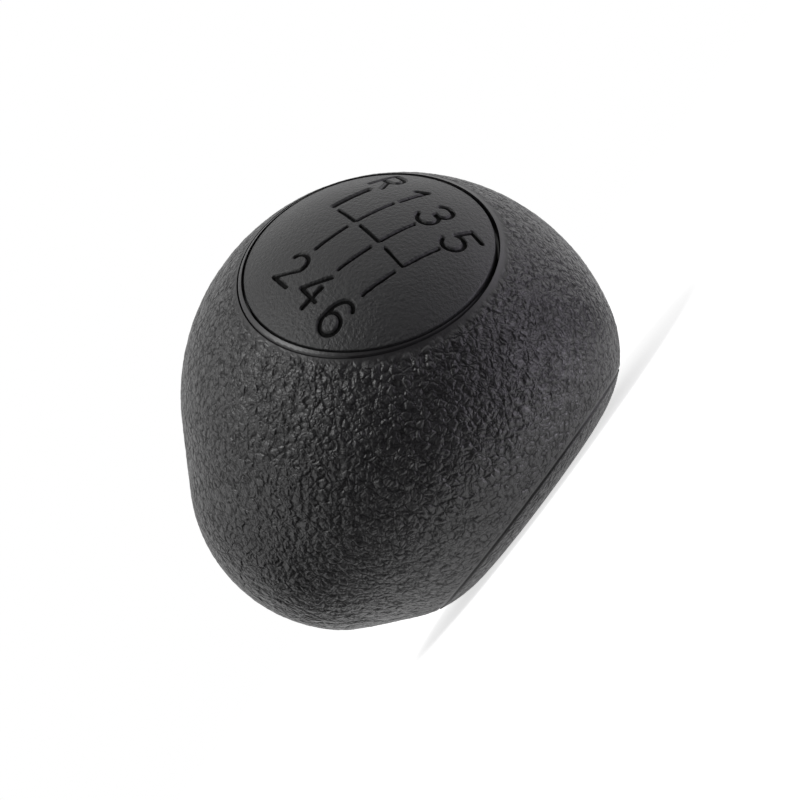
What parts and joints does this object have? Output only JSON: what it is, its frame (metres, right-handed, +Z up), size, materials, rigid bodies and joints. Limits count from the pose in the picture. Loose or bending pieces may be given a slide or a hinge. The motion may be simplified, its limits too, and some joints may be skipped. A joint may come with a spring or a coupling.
{
  "type": "gear shift knob",
  "caption": "Ball-shaped gear shift knob with a palm swell, a tilted domed shift pattern disc and a blind lever bore in its flat base.",
  "frame": {"origin": "mouth of the lever bore, in the flat base that the knob stands on", "axes": "+Z up the lever towards the crown; -X towards the palm swell; the pattern disc leans towards +X and -Y"},
  "size_m": [0.0619, 0.058, 0.051],
  "materials": {
    "grained_grip": "leather-grained soft-touch plastic",
    "grained_cap": "leather-grained plastic",
    "disc_plastic": "fine matte texture",
    "core_plastic": "plain moulded",
    "sleeve_plastic": "satin moulded",
    "spring_steel": "bright stamped"
  },
  "bodies": {
    "root": {"grip_shell": "grained_grip", "base_cap": "grained_cap", "pattern_disc": "disc_plastic", "socket_core": "core_plastic", "lever_sleeve": "sleeve_plastic", "retaining_clip": "spring_steel"}
  },
  "joints": []
}
